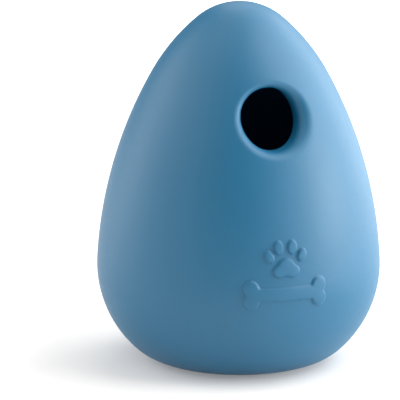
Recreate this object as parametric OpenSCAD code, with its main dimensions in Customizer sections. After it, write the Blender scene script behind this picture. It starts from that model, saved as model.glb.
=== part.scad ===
// Hollow egg-shaped treat toy for a dog, moulded in soft rubber as one piece.
// It stands on a flat foot, its thick floor sets it upright again, and it drops treats from its port.
// The frame has +Z up and its origin at the middle of the foot, and the port faces -Y.

/* [Outside] */
// Height of the egg from its foot to its crown
egg_h = 120; // [110:1:135]
// Widest diameter of the egg
egg_d = 95; // [88:1:102]
// Height of the widest place above the foot
waist_z = 32; // [27:0.5:36]
// Radius of the rounded edge round the foot
foot_edge_r = 17.5; // [12:0.5:20]
// Radius of the belly's outline
belly_r = 37.5; // [35:0.5:41]
// Height above the widest place at which the belly passes into the long side
belly_rise = 2.2; // [0:0.1:6]
// Radius of the crown
crown_r = 22; // [18:0.5:26]
// Angle that the shoulder turns through between the long side and the crown
shoulder_bend = 20.5; // [16:0.5:24]

/* [Chamber] */
// Thickness of the wall
wall_t = 8; // [5:0.5:11]
// Thickness of the floor
floor_t = 16; // [10:0.5:20]
// Radius of the corner between the chamber's floor and its wall
chamber_corner_r = 18; // [12:0.5:21]

/* [Port] */
// Diameter of the port
port_d = 19.5; // [14:0.5:24]
// Depth of the port's axis below the top of the crown
port_drop = 34; // [30:1:46]
// Radius of the soft lip round the outside of the port
outer_lip_r = 2.5; // [1.5:0.25:3.5]
// Radius of the port's edge inside the chamber
inner_lip_r = 1.5; // [0.75:0.25:2]

/* [Hidden] */
$fn = 160;

port_r = port_d / 2;
port_z = egg_h - port_drop;

// Outline of the egg in the plane of radius and height.
// It is a chain of arcs, and where one meets the next their centres lie on the same normal.

function unit(turn) = [cos(turn), sin(turn)];
function heading(v) = atan2(v.y, v.x);

belly_c = [egg_d / 2 - belly_r, waist_z];
belly_end = asin(belly_rise / belly_r);
belly_top = belly_c + belly_r * unit(belly_end);
crown_c = [0, egg_h - crown_r];

// A plain arc would run from the top of the belly to the crown, and would touch the crown at its lean
span = crown_c - belly_top;
plain_r = (crown_r * crown_r - span * span) / (2 * (span * unit(belly_end) + crown_r));
lean = heading(crown_c - belly_top + plain_r * unit(belly_end));

// In its place a long side and a tighter shoulder share the way, with the shoulder's bend about the lean
side_end = lean - shoulder_bend / 2;
shoulder_end = lean + shoulder_bend / 2;
side_chord = unit(side_end) - unit(belly_end);
shoulder_chord = unit(shoulder_end) - unit(side_end);
way = crown_c + crown_r * unit(shoulder_end) - belly_top;
side_r = cross(way, shoulder_chord) / cross(side_chord, shoulder_chord);
shoulder_r = cross(side_chord, way) / cross(side_chord, shoulder_chord);
side_c = belly_top - side_r * unit(belly_end);
shoulder_c = side_c + (side_r - shoulder_r) * unit(side_end);

// Arcs of the wall from the belly up: centre, radius, and slope of the normal at the upper end
WALL = [
    [belly_c, belly_r, belly_end],
    [side_c, side_r, side_end],
    [shoulder_c, shoulder_r, shoulder_end],
    [crown_c, crown_r, 90]
];

// Centre of an arc that rests on a floor and touches the belly's circle from inside
function corner_c(inset, floor_z, r) =
    [belly_c.x + sqrt(pow(belly_r - inset - r, 2) - pow(waist_z - floor_z - r, 2)), floor_z + r];

// Slice of a disc between two turns, as far as the egg's axis
module slice(centre, r, from, to) {
    intersection() {
        translate(centre) circle(r);
        polygon([centre, centre + 2 * r * unit(from), centre + 2 * r * unit(to)]);
        square([egg_d, egg_h]);
    }
}

// Half section of the egg, inset by a wall and resting on a floor
module half_section(inset, floor_z, corner_r) {
    corner = corner_c(inset, floor_z, corner_r);
    chain = [
        [corner, corner_r, heading(corner - belly_c)],
        for (arc = WALL) [arc[0], arc[1] - inset, arc[2]]
    ];
    starts = [-90, for (arc = chain) arc[2]];
    polygon([[0, floor_z], [corner.x, floor_z], for (arc = chain) arc[0] + arc[1] * unit(arc[2])]);
    for (i = [0 : len(chain) - 1])
        slice(chain[i][0], chain[i][1], starts[i], chain[i][2]);
}

// Rounded edges of the port.
// A ball rolls round the port inside the wall. It touches the port and one face of the wall,
// and the material between the ball and the sharp edge is cut away.

// Balls round the port, and length of one step across a rounding
edge_balls = 32;
edge_step = 1;
// Angle at which the cut crosses the port and the face, so that it meets neither at a tangent
edge_crossing = 10;
// How far the cut runs on past each crossing
edge_run = 2;
// How far the cut's tip stands off the wall
edge_tip = 14;

// Arc, radius and normal of the wall at a height, inset from the outside
function wall_arc(z, inset) =
    [for (arc = WALL) if (arc[2] == 90 || z < arc[0].y + (arc[1] - inset) * sin(arc[2])) arc][0];
function wall_radius(z, inset) =
    let (arc = wall_arc(z, inset))
    arc[0].x + sqrt(pow(arc[1] - inset, 2) - pow(z - arc[0].y, 2));
function wall_normal(p, inset) =
    let (arc = wall_arc(p.z, inset), rho = norm([p.x, p.y]))
    let (n = ([rho, p.z] - arc[0]) / (arc[1] - inset))
    [n.x * p.x / rho, n.x * p.y / rho, n.y];

// Steps across a quarter round of radius r
function steps(r) = ceil(PI / 2 * r / edge_step);

// Points across the rounding where the ball lies at a turn about the port
function edge_row(turn, r, inset, facing) =
    let (x = (port_r + r) * sin(turn), z = port_z + (port_r + r) * cos(turn))
    let (ball = [x, -sqrt(pow(wall_radius(z, inset), 2) - x * x), z])
    let (to_port = [-sin(turn), 0, -cos(turn)], to_face = facing * wall_normal(ball, inset))
    let (bend = acos(to_port * to_face), first = edge_crossing, last = bend - edge_crossing)
    let (out = function(a) (sin(bend - a) * to_port + sin(a) * to_face) / sin(bend))
    let (along = function(a) (cos(a) * to_face - cos(bend - a) * to_port) / sin(bend))
    [
        ball + r * out(first) - edge_run * along(first),
        for (k = [0 : steps(r)]) ball + r * out(first + (last - first) * k / steps(r)),
        ball + r * out(last) + edge_run * along(last)
    ];

// Cut that rounds one edge of the port: facing is 1 for the outside and -1 for the chamber
module edge_cut(r, inset, facing) {
    across = len(edge_row(0, r, inset, facing));
    rows = [for (i = [0 : edge_balls - 1]) each edge_row(facing * 360 * i / edge_balls, r, inset, facing)];
    start_tip = [0, -wall_radius(port_z, inset), port_z];
    end_tip = start_tip - [0, facing * edge_tip, 0];
    tips = edge_balls * across;
    polyhedron(
        points = concat(rows, [start_tip, end_tip]),
        faces = [
            for (i = [0 : edge_balls - 1])
                let (a = i * across, b = (i + 1) % edge_balls * across, last = across - 1)
                each [
                    [b, a, tips],
                    for (k = [0 : last - 1]) each [[a + k, b + k + 1, a + k + 1], [a + k, b + k, b + k + 1]],
                    [a + last, b + last, tips + 1]
                ]
        ]
    );
}

module port() {
    translate([0, 0, port_z]) rotate([90, 0, 0]) cylinder(r = port_r, h = egg_d);
    edge_cut(outer_lip_r, outer_lip_r, 1);
    edge_cut(inner_lip_r, wall_t - inner_lip_r, -1);
}

module egg_shell() {
    color("steelblue")
        difference() {
            rotate_extrude() half_section(0, 0, foot_edge_r);
            rotate_extrude() half_section(wall_t, floor_t, chamber_corner_r);
            port();
        }
}

egg_shell();
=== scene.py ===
# %% [markdown]
# # A hollow rubber egg for a dog
#
# The toy is one moulding of soft blue rubber: an egg on a flat foot, hollow inside, with one round port in its
# upper flank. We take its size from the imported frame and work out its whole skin, outside and inside, as one
# surface on a grid. That surface replaces the plain solid, so the rolled lip of the port comes out smooth.

# %% Load the frame
import math

import bpy
import numpy as np
from mathutils import Matrix, Vector


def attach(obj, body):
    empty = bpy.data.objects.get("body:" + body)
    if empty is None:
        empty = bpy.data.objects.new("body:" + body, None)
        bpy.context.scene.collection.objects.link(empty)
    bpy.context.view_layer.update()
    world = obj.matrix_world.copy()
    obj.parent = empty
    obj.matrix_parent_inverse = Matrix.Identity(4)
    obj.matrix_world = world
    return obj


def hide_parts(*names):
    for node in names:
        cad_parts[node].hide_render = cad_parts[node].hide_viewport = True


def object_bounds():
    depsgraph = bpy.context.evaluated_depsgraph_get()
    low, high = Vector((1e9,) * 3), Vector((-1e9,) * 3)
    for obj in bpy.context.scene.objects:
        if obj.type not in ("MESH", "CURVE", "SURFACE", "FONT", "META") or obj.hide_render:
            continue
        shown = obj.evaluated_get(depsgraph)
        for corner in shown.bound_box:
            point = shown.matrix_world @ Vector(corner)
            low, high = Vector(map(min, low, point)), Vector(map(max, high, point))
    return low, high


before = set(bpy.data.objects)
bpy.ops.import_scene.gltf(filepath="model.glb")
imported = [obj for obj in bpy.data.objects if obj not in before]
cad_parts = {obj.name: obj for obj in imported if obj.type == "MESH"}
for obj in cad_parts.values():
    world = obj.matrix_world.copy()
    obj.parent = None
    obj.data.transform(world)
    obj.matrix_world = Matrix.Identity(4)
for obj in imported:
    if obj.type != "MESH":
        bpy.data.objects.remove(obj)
cad_low, cad_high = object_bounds()
scene = bpy.context.scene
mm = 0.001

# %% [markdown]
# ## The camera
#
# The camera comes first, so that every later choice can be judged through it. It stands a little above the toy
# and a little to the left of the port, and far away with a long lens, because the egg shows almost no
# perspective. The shift slides the picture without turning the camera, which keeps the egg's sides true.
# The picture is 400 pixels square, and a long lens is stated by how many pixels a millimetre covers.

# %% Camera
picture = 400
pixels_per_mm = 2.995
stand_off = 820 * mm
aim = Vector((0, 0, 60 * mm))
aim_pixel = (238.98, 179.74)
camera_turn = math.radians(-18.8)
camera_rise = math.radians(12)
camera_roll = math.radians(0.37)
nearest, farthest = 0.05, 60


def direction(turn, rise):
    """A unit vector out of the toy, at a turn round it from its front and a rise above the floor, in radians."""
    level = math.cos(rise)
    return Vector((math.sin(turn) * level, -math.cos(turn) * level, math.sin(rise)))


camera_data = bpy.data.cameras.new("camera")
camera = bpy.data.objects.new("camera", camera_data)
scene.collection.objects.link(camera)
scene.camera = camera

back = direction(camera_turn, camera_rise)
camera.rotation_mode = "QUATERNION"
camera.location = aim + back * stand_off
upright = (-back).to_track_quat("-Z", "Y")
camera.rotation_quaternion = upright @ Matrix.Rotation(camera_roll, 3, "Z").to_quaternion()
camera_data.sensor_width = 36
camera_data.lens = camera_data.sensor_width * pixels_per_mm * (stand_off / mm) / picture
camera_data.shift_x = (picture / 2 - aim_pixel[0]) / picture
camera_data.shift_y = (aim_pixel[1] - picture / 2) / picture
camera_data.clip_start = nearest
camera_data.clip_end = farthest
print("lens", round(camera_data.lens, 1), "mm, shift", round(camera_data.shift_x, 4), round(camera_data.shift_y, 4))

# %% [markdown]
# ## The outline of the egg
#
# An egg that is drawn freehand gets flat spots. This one is a chain of circular arcs, as a pattern maker would
# draw it: the rounded edge of the foot, the belly, the long side, the shoulder and the crown. Where two arcs
# meet, their centres lie on one line with the joint, so the outline never kinks.
#
# The long side and the shoulder have no radius of their own. One plain arc would join the belly to the crown,
# but the toy's flank is straighter below and rounder above. So two arcs share the way. We choose only how far the
# shoulder turns, and two equations, one across and one up, then give both radii.
#
# The chamber is the same chain, drawn inwards by the wall, with a thick floor whose weight rights the toy.

# %% Outline as a chain of arcs
egg_height = cad_high.z - cad_low.z
egg_radius = 47.5 * mm
waist_height = 32 * mm
foot_edge_radius = 17.5 * mm
belly_radius = 37.5 * mm
belly_rise = 2.2 * mm
crown_radius = 22 * mm
shoulder_bend = math.radians(20.5)
wall = 8 * mm
floor_thickness = 16 * mm
chamber_corner_radius = 18 * mm


def unit(turn):
    """A unit vector in the plane of radius and height, at an angle in radians above the horizontal."""
    return np.array([math.cos(turn), math.sin(turn)])


def heading(way):
    """The angle of a vector in that plane above the horizontal, in radians."""
    return math.atan2(way[1], way[0])


def wall_arcs():
    """The arcs from the belly up, each as its centre, its radius and the slope of its normal where it ends.
    The plain arc's radius is (c^2 - w.w) / (2 (w.n + c)), for the crown's radius c, the way w from the belly's top
    to the crown's centre, and the belly's last normal n. Its normal at the crown is the lean, and the shoulder's
    bend lies half below and half above it. Each arc then adds its radius times the change of its normal."""
    belly = np.array([egg_radius - belly_radius, waist_height])
    belly_end = math.asin(belly_rise / belly_radius)
    belly_top = belly + belly_radius * unit(belly_end)
    crown = np.array([0, egg_height - crown_radius])
    span = crown - belly_top
    plain_radius = (crown_radius**2 - span @ span) / (2 * (span @ unit(belly_end) + crown_radius))
    lean = heading(span + plain_radius * unit(belly_end))
    side_end = lean - shoulder_bend / 2
    shoulder_end = lean + shoulder_bend / 2
    swept = np.stack([unit(side_end) - unit(belly_end), unit(shoulder_end) - unit(side_end)], -1)
    way = crown + crown_radius * unit(shoulder_end) - belly_top
    side_radius, shoulder_radius = np.linalg.solve(swept, way)
    side = belly_top - side_radius * unit(belly_end)
    shoulder = side + (side_radius - shoulder_radius) * unit(side_end)
    return [
        (belly, belly_radius, belly_end),
        (side, side_radius, side_end),
        (shoulder, shoulder_radius, shoulder_end),
        (crown, crown_radius, math.pi / 2),
    ]


def outline(inset, floor, corner_radius):
    """The floor's height and the whole chain of arcs, for a skin that lies inset inside the egg and rests on a floor.
    The corner's circle rests on the floor and touches the belly's circle from inside."""
    arcs = wall_arcs()
    belly = arcs[0][0]
    reach = math.sqrt((belly_radius - inset - corner_radius) ** 2 - (waist_height - floor - corner_radius) ** 2)
    corner = np.array([belly[0] + reach, floor + corner_radius])
    inner_arcs = [(centre, r - inset, end) for centre, r, end in arcs]
    return floor, [(corner, corner_radius, heading(corner - belly))] + inner_arcs


def look_up(skin, heights, inset=0):
    """At each height, the radius and the normal of a skin, or of what lies inset inside it, in the plane of radius
    and height. The radius is the arc's centre, plus the side of a right triangle whose long side is the arc's
    radius and whose other side is the height above the centre."""
    floor, arcs = skin
    radius = np.zeros_like(heights)
    normal = np.zeros(heights.shape + (2,))
    start = floor + inset
    for centre, r, end in arcs:
        reach = r - inset
        stop = centre[1] + reach * math.sin(end)
        here = (heights >= start) & (heights <= stop)
        rise = heights - centre[1]
        across = np.sqrt(np.maximum(reach**2 - rise**2, 0))
        radius = np.where(here, centre[0] + across, radius)
        normal = np.where(here[..., None], np.stack([across / reach, rise / reach], -1), normal)
        start = stop
    return radius, normal


def turned(normal, x, y):
    """Normals of the outline, turned about the egg's axis to where x and y lie.
    The distance from the axis is held above a millimetre, so that nothing is divided by zero there."""
    rho = np.maximum(np.hypot(x, y), mm)
    return np.stack([normal[..., 0] * x / rho, normal[..., 0] * y / rho, normal[..., 1]], -1)


outside = outline(0, 0, foot_edge_radius)
chamber = outline(wall, floor_thickness, chamber_corner_radius)
for name, skin in {"outside": outside, "chamber": chamber}.items():
    print(name, "arc radii", [round(r / mm, 1) for centre, r, end in skin[1]], "mm")

# %% [markdown]
# ## The port and its rolled lip
#
# The port is a round hole that runs level through a sloping wall, so its edge is steep above and shallow below.
# A plain bevel would look uneven there. On the real toy the edge is rounded as if a ball had rolled round it
# inside the rubber, touching the hole and the skin at once. We do just that: for each turn round the port we
# find the ball's centre, then draw the arc from where it touches the hole to where it touches the skin.
#
# Seen closely, the lip is fuller below, and a little to the right, than above. So the outer ball swells and
# shrinks once on its way round, from under two millimetres to over four. The inner ball keeps its size.

# %% Lip of the port
port_radius = 9.75 * mm
port_height = egg_height - 34 * mm
outer_lip = 2.9 * mm
lip_swell = 1.3 * mm
lip_swell_turn = math.radians(160)
inner_lip = 1.5 * mm


def port_edge(turns, ball, inset, facing, rows):
    """The rounded edge of the port as rows of points, from the hole to the skin.
    At each turn a ball's centre lies its radius outside the hole and at a depth inset below the outside, and each
    row is a step of the great arc between the two directions in which the ball touches: sin(b - a) h + sin(a) s,
    over sin(b), where h points to the hole, s to the skin, and b is the angle between them."""
    x = (port_radius + ball) * np.sin(turns)
    z = port_height + (port_radius + ball) * np.cos(turns)
    radius, normal = look_up(outside, z, inset)
    y = -np.sqrt(radius**2 - x**2)
    centre = np.stack([x, y, z], -1)
    to_hole = np.stack([-np.sin(turns), np.zeros_like(turns), -np.cos(turns)], -1)
    to_skin = facing * turned(normal, x, y)
    bend = np.arccos(np.sum(to_hole * to_skin, -1))[:, None]
    step = np.linspace(0, 1, rows)[:, None, None] * bend
    return centre + ball[:, None] * (np.sin(bend - step) * to_hole + np.sin(step) * to_skin) / np.sin(bend)


# %% [markdown]
# ## The grid of the skin
#
# Every column of the grid is one turn round the port. A column starts at a pole low on the egg's back, runs
# over the outside to the lip, rolls into the hole, comes out in the chamber and ends at a second pole on the
# chamber's back. All the columns together close the skin, with no seam between the inside and the outside.
#
# Columns and rows lie closer together where the small raised emblem is, below the port.

# %% Columns and rows
emblem_turn = math.pi
emblem_half_turn = math.radians(22)
emblem_columns = 140
plain_columns = 150
middle = np.array([0, 0, 55 * mm])
halvings = 45

# Shares of the way from the lip to the outer pole between which the rows lie closer together
emblem_rows = (0.155, 0.385)


def spaced(stops, counts):
    """Values from the first stop to the last, with each count of them spread evenly up to the next stop."""
    parts = [np.linspace(a, b, n, endpoint=False) for a, b, n in zip(stops, stops[1:], counts)]
    return np.concatenate(parts + [[stops[-1]]])


turns = spaced(
    [0, emblem_turn - emblem_half_turn, emblem_turn + emblem_half_turn, 2 * math.pi],
    [plain_columns // 2, emblem_columns, plain_columns // 2],
)[:-1]


def fan_out(edge, skin, fractions):
    """Rows of points on a skin, from a closed edge to the pole behind it.
    Seen from the egg's middle, each edge point lies at some angle from the port's direction. Its column sweeps
    from there to the opposite direction, and each ray is followed until it meets the skin, by halving."""
    start = edge - middle
    pole = np.array([0, -look_up(outside, np.array([port_height]))[0][0], port_height - middle[2]])
    pole /= np.linalg.norm(pole)
    along = start @ pole
    side = start - along[:, None] * pole
    angle = np.arctan2(np.linalg.norm(side, axis=-1), along)
    side /= np.linalg.norm(side, axis=-1)[:, None]
    sweep = angle + fractions[:, None] * (math.pi - angle)
    rays = np.cos(sweep)[..., None] * pole + np.sin(sweep)[..., None] * side
    near = np.zeros(sweep.shape)
    far = np.full(sweep.shape, egg_height)
    floor, arcs = skin
    top = arcs[-1][0][1] + arcs[-1][1]
    for halving in range(halvings):
        half = (near + far) / 2
        p = middle + half[..., None] * rays
        inside = (p[..., 2] > floor) & (p[..., 2] < top)
        inside &= np.hypot(p[..., 0], p[..., 1]) < look_up(skin, np.clip(p[..., 2], floor, top))[0]
        near = np.where(inside, half, near)
        far = np.where(inside, far, half)
    return middle + near[..., None] * rays


# %% [markdown]
# ## The raised emblem
#
# A paw print above a bone is moulded on the front. It stands up by less than a millimetre, but a bump texture
# alone would leave its edges flat from the side. So the skin itself is lifted. A distance to the emblem's edge
# is worked out on the unrolled skin, the pads and the bone's knobs flow together where they meet, and the lift
# rises steeply but smoothly across the edge.

# %% Emblem
emblem_lift = 0.7 * mm
emblem_dome = 0.12 * mm
dome_shoulder = 1 * mm
emblem_edge = 0.45 * mm
paw_height = 43.4 * mm
paw_scale = 0.8
bone_height = 32.4 * mm

# Pads of the paw on the right half: middle across and up, half width and half height in mm, and tilt in radians
palm_pad = (0, -2.6, 3.3, 3.1, 0)
heel_pad = (3.1, -4.7, 2.5, 2.1, 0.35)
toe_pads = [(2.9, 4.9, 1.95, 2.75, -0.12), (7.0, 1.5, 1.75, 2.5, -0.42)]
palm_softness = 0.7 * mm
bar_half = 10.8 * mm
bar_radius = 2.05 * mm
knob_across = 11.6 * mm
knob_up = 2.2 * mm
knob_radius = 2.45 * mm
bone_softness = 0.35 * mm


def blended(distances, softness):
    """The distance to several forms that flow together: the least, less the log of how many are as near."""
    least = np.minimum.reduce(distances)
    return least - softness * np.log(sum(np.exp((least - d) / softness) for d in distances))


def pad(across, up, oval, side=1):
    """Distance outside a tilted oval, or for side -1 outside its mirror image on the left half.
    It is how far out a point lies in units of the oval, less 1, times the oval's smaller half."""
    middle_across, middle_up, half_width, half_height, tilt = oval
    along = across * side - middle_across * mm
    above = up - middle_up * mm
    x = along * math.cos(tilt) + above * math.sin(tilt)
    y = above * math.cos(tilt) - along * math.sin(tilt)
    return (np.hypot(x / half_width, y / half_height) / mm - 1) * min(half_width, half_height) * mm


def paw(across, up):
    """Distance outside the paw print: four toes, and three pads that make the palm."""
    heels = [pad(across, up, heel_pad, side) for side in (-1, 1)]
    toes = [pad(across, up, toe, side) for toe in toe_pads for side in (-1, 1)]
    palm = blended([pad(across, up, palm_pad)] + heels, palm_softness)
    return np.minimum.reduce([palm] + toes)


def bone(across, up):
    """Distance outside the bone: a round-ended bar and two knobs at either end."""
    bar = np.hypot(np.maximum(abs(across) - bar_half, 0), up) - bar_radius
    knobs = np.hypot(abs(across) - knob_across, abs(up) - knob_up) - knob_radius
    return blended([bar, knobs], bone_softness)


def lift(points):
    """How far each point of the outside is raised: a smooth step across the emblem's edge, and a low dome."""
    around = np.arctan2(points[..., 0], -points[..., 1]) * egg_radius
    height = points[..., 2]
    distance = np.minimum(
        paw(around / paw_scale, (height - paw_height) / paw_scale) * paw_scale,
        bone(around, height - bone_height),
    )
    step = np.clip(0.5 - distance / emblem_edge, 0, 1)
    dome = 1 - np.exp(np.minimum(distance, 0) / dome_shoulder)
    return emblem_lift * step * step * (3 - 2 * step) + emblem_dome * dome


# %% [markdown]
# ## The shell
#
# Now the parts of each column are stacked in order and joined into quads. The first and last rows shrink to the
# two poles, each a single point closed by a fan of triangles.

# %% Build the shell
lip_rows = 15
hole_rows = 5
inner_lip_rows = 8
rows_above_emblem, rows_on_emblem, rows_past_emblem = 20, 142, 52
chamber_rows = 43
outside_fractions = spaced([0, *emblem_rows, 1], [rows_above_emblem, rows_on_emblem, rows_past_emblem])
chamber_fractions = np.linspace(0, 1, chamber_rows)


def skin_points():
    """The rows of the whole skin, from the row next to the outer pole to the row next to the inner pole."""
    outer_ball = outer_lip + lip_swell * np.cos(turns - lip_swell_turn)
    inner_ball = np.full_like(turns, inner_lip)
    outer = port_edge(turns, outer_ball, outer_ball, 1, lip_rows)
    inner = port_edge(turns, inner_ball, wall - inner_ball, -1, inner_lip_rows)
    body = fan_out(outer[-1], outside, outside_fractions)
    slope = look_up(outside, body[..., 2])[1]
    body = body + lift(body)[..., None] * turned(slope, body[..., 0], body[..., 1])
    share = np.linspace(0, 1, hole_rows + 2)[1:-1, None, None]
    hole = outer[0] * (1 - share) + inner[0] * share
    room = fan_out(inner[-1], chamber, chamber_fractions)
    return np.concatenate([body[-2::-1], outer[-2::-1], hole, inner, room[1:-1]]), body[-1, 0], room[-1, 0]


def closed_mesh(name, rows, first_pole, last_pole):
    """A mesh from rows of points that close round, with a fan of triangles to a pole at either end."""
    count, columns = rows.shape[:2]
    points = np.concatenate([rows.reshape(-1, 3), [first_pole, last_pole]])
    here = np.arange(columns)
    after = np.roll(here, -1)
    base = np.arange(count - 1)[:, None] * columns
    quads = np.stack([base + here, base + after, base + columns + after, base + columns + here], -1)
    last = (count - 1) * columns
    fans = np.stack([after, here, np.full(columns, count * columns)], -1)
    end_fans = np.stack([last + here, last + after, np.full(columns, count * columns + 1)], -1)
    faces = quads.reshape(-1, 4).tolist() + fans.tolist() + end_fans.tolist()
    mesh = bpy.data.meshes.new(name)
    mesh.from_pydata(points.tolist(), [], faces)
    mesh.update()
    mesh.shade_smooth()
    shell = bpy.data.objects.new(name, mesh)
    scene.collection.objects.link(shell)
    return shell


def volume(mesh):
    """The space that a closed mesh holds: a sixth of each triangle's corner product, summed."""
    mesh.calc_loop_triangles()
    corners = np.empty(len(mesh.loop_triangles) * 3, np.int32)
    mesh.loop_triangles.foreach_get("vertices", corners)
    points = np.empty(len(mesh.vertices) * 3)
    mesh.vertices.foreach_get("co", points)
    a, b, c = points.reshape(-1, 3)[corners.reshape(-1, 3)].transpose(1, 0, 2)
    return float(np.sum(a * np.cross(b, c)) / 6)


shell = closed_mesh("rubber_egg", *skin_points())
print("rubber", round(volume(shell.data) / mm**3 / 1000, 1), "cubic cm,", len(shell.data.loop_triangles), "triangles")

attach(shell, "root")
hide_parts("egg_shell")

# %% [markdown]
# ## Matte blue rubber
#
# Moulded natural rubber is matte but not dull. A faint dusty bloom lies on it, and its grain is finer than a
# millimetre. So the colour drifts a little over centimetres, the roughness drifts with it, and a fine bump
# breaks up the highlight. The numbers that stay the same all over are set on the shader itself.

# %% Rubber
rubber_deep = (0.001, 0.127, 0.255, 1)
rubber_bloom = (0.005, 0.139, 0.274, 1)
dull_least, dull_most = 0.46, 0.54
pore_depth, pore_share = 0.05 * mm, 0.35
grain_depth, grain_share = 0.02 * mm, 0.4
rubber_ior = 1.52
rubber_specular = 0.64

# Noises of the rubber, each as how many of its spots go into a metre, and its detail
bloom_noise = (45, 4)
dull_noise = (400, 3)
pore_noise = (900, 4)
grain_noise = (3500, 2)


def new_material(name):
    """A new material, with its nodes, its links and its main shader."""
    material = bpy.data.materials.new(name)
    material.use_nodes = True
    nodes = material.node_tree.nodes
    return material, nodes, material.node_tree.links, nodes["Principled BSDF"]


def rubber():
    """Blue rubber: a base colour that drifts towards a paler bloom, and two sizes of grain as bump."""
    material, nodes, links, shader = new_material("blue_rubber")
    place = nodes.new("ShaderNodeTexCoord")

    def noise(per_metre, detail):
        texture = nodes.new("ShaderNodeTexNoise")
        texture.inputs["Scale"].default_value = per_metre
        texture.inputs["Detail"].default_value = detail
        links.new(place.outputs["Object"], texture.inputs["Vector"])
        return texture.outputs["Fac"]

    def bump(height, depth, share):
        relief = nodes.new("ShaderNodeBump")
        relief.inputs["Strength"].default_value = share
        relief.inputs["Distance"].default_value = depth
        links.new(height, relief.inputs["Height"])
        return relief

    drift = noise(*bloom_noise)
    tint = nodes.new("ShaderNodeMix")
    tint.data_type = "RGBA"
    tint.inputs["A"].default_value = rubber_deep
    tint.inputs["B"].default_value = rubber_bloom
    links.new(drift, tint.inputs["Factor"])
    links.new(tint.outputs["Result"], shader.inputs["Base Color"])

    dull = nodes.new("ShaderNodeMapRange")
    dull.inputs["To Min"].default_value = dull_least
    dull.inputs["To Max"].default_value = dull_most
    links.new(noise(*dull_noise), dull.inputs["Value"])
    links.new(dull.outputs["Result"], shader.inputs["Roughness"])

    pores = bump(noise(*pore_noise), pore_depth, pore_share)
    grain = bump(noise(*grain_noise), grain_depth, grain_share)
    links.new(pores.outputs["Normal"], grain.inputs["Normal"])
    links.new(grain.outputs["Normal"], shader.inputs["Normal"])
    shader.inputs["IOR"].default_value = rubber_ior
    shader.inputs["Specular IOR Level"].default_value = rubber_specular
    return material


shell.data.materials.append(rubber())

# %% [markdown]
# ## The floor
#
# The toy stands on white paper that runs on to a white background. One very large plane is both, so no corner or
# backdrop shows from any side. Its own colour is a little warm and not quite white, so that the shadow and the
# blue that the egg throws on it stay visible.
#
# Lamps alone would leave the far paper grey. So it also glows, weakly near the toy and up to plain white far
# away. The glow is seen by the camera, in reflections and through clear things, and it lights nothing: the
# Light Path node tells those rays from the rest.

# %% Floor
floor_half = 30
floor_drop = 0.02 * mm
paper_colour = (0.80, 0.78, 0.76, 1)
glow_near, glow_far = 0.20, 1
glow_starts, glow_ends = 0.15, 0.9

floor_corners = [(x * floor_half, y * floor_half, -floor_drop) for x, y in ((-1, -1), (1, -1), (1, 1), (-1, 1))]
floor_mesh = bpy.data.meshes.new("floor")
floor_mesh.from_pydata(floor_corners, [], [(0, 1, 2, 3)])
floor = bpy.data.objects.new("floor", floor_mesh)
scene.collection.objects.link(floor)


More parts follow.
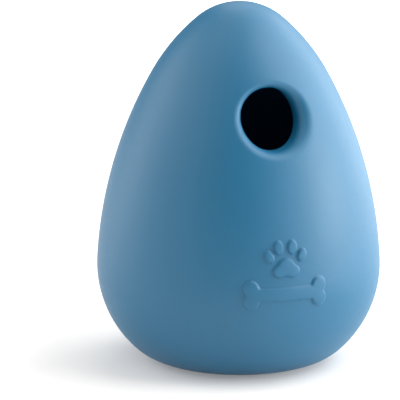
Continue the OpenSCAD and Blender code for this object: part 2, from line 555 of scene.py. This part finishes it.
def paper():
    """White paper: a diffuse surface, and a glow for the camera, reflections and clear things.
    The glow rises with the distance from the toy, along a smooth step."""
    material, nodes, links, shader = new_material("white_paper")
    shader.inputs["Base Color"].default_value = paper_colour
    shader.inputs["Roughness"].default_value = 1
    shader.inputs["Specular IOR Level"].default_value = 0
    shader.inputs["Emission Color"].default_value = (1, 1, 1, 1)

    path = nodes.new("ShaderNodeLightPath")
    seen = path.outputs["Is Camera Ray"]
    for ray in ("Is Glossy Ray", "Is Transmission Ray"):
        either = nodes.new("ShaderNodeMath")
        links.new(seen, either.inputs[0])
        links.new(path.outputs[ray], either.inputs[1])
        seen = either.outputs["Value"]

    place = nodes.new("ShaderNodeTexCoord")
    away = nodes.new("ShaderNodeVectorMath")
    away.operation = "LENGTH"
    links.new(place.outputs["Object"], away.inputs[0])
    spread = nodes.new("ShaderNodeMapRange")
    spread.interpolation_type = "SMOOTHSTEP"
    spread.inputs["From Min"].default_value = glow_starts
    spread.inputs["From Max"].default_value = glow_ends
    spread.inputs["To Min"].default_value = glow_near
    spread.inputs["To Max"].default_value = glow_far
    links.new(away.outputs["Value"], spread.inputs["Value"])

    glow = nodes.new("ShaderNodeMath")
    glow.operation = "MULTIPLY"
    links.new(seen, glow.inputs[0])
    links.new(spread.outputs["Result"], glow.inputs[1])
    links.new(glow.outputs["Value"], shader.inputs["Emission Strength"])
    return material


floor_mesh.materials.append(paper())

# %% [markdown]
# ## Light
#
# Soft rubber is read from broad, slow changes of light, so there are only large soft panels and a faint white
# room. The light comes mostly from the right and from behind on both sides: it pales the right flank and both
# edges, and leaves the front deep blue.
#
# Light adds up, and that makes nine panels easy to balance. The toy can be rendered under each panel alone, and
# the nine strengths are then the answer of one least squares problem. They are given in watts, so that another
# panel can be added, or one made stronger, without touching the rest.

# %% Lights
room_light = 0.12
panel_distance = 0.9
large = (0.7, 0.8)
small = (0.45, 0.28)

# Panels by name, each with its turn and rise in degrees, its size in metres and its power in watts
panels = {
    "front_low": (30, 9, small, 1.0),
    "right_low": (65, 9, small, 4.9),
    "right_above": (60, 50, large, 6.6),
    "right_behind": (110, 20, large, 6.7),
    "behind_above": (150, 50, large, 2.9),
    "left": (-75, 20, large, 1.5),
    "left_above": (-70, 50, large, 1.3),
    "left_behind": (-125, 20, large, 4.3),
    "overhead": (-120, 75, large, 1.6),
}

world = bpy.data.worlds.new("room")
scene.world = world
world.use_nodes = True
background = world.node_tree.nodes["Background"]
background.inputs["Color"].default_value = (1, 1, 1, 1)
background.inputs["Strength"].default_value = room_light


def panel(name, turn, rise, width, height, power):
    """A soft panel that faces the toy from a turn round it and a rise above the floor, in degrees."""
    out = direction(math.radians(turn), math.radians(rise))
    data = bpy.data.lights.new(name, "AREA")
    data.shape = "RECTANGLE"
    data.size = width
    data.size_y = height
    data.energy = power
    lamp = bpy.data.objects.new(name, data)
    lamp.location = aim + out * panel_distance
    lamp.rotation_mode = "QUATERNION"
    lamp.rotation_quaternion = out.to_track_quat("Z", "Y")
    scene.collection.objects.link(lamp)


for name, (turn, rise, size, power) in panels.items():
    panel(name, turn, rise, *size, power)

scene.view_settings.view_transform = "Standard"
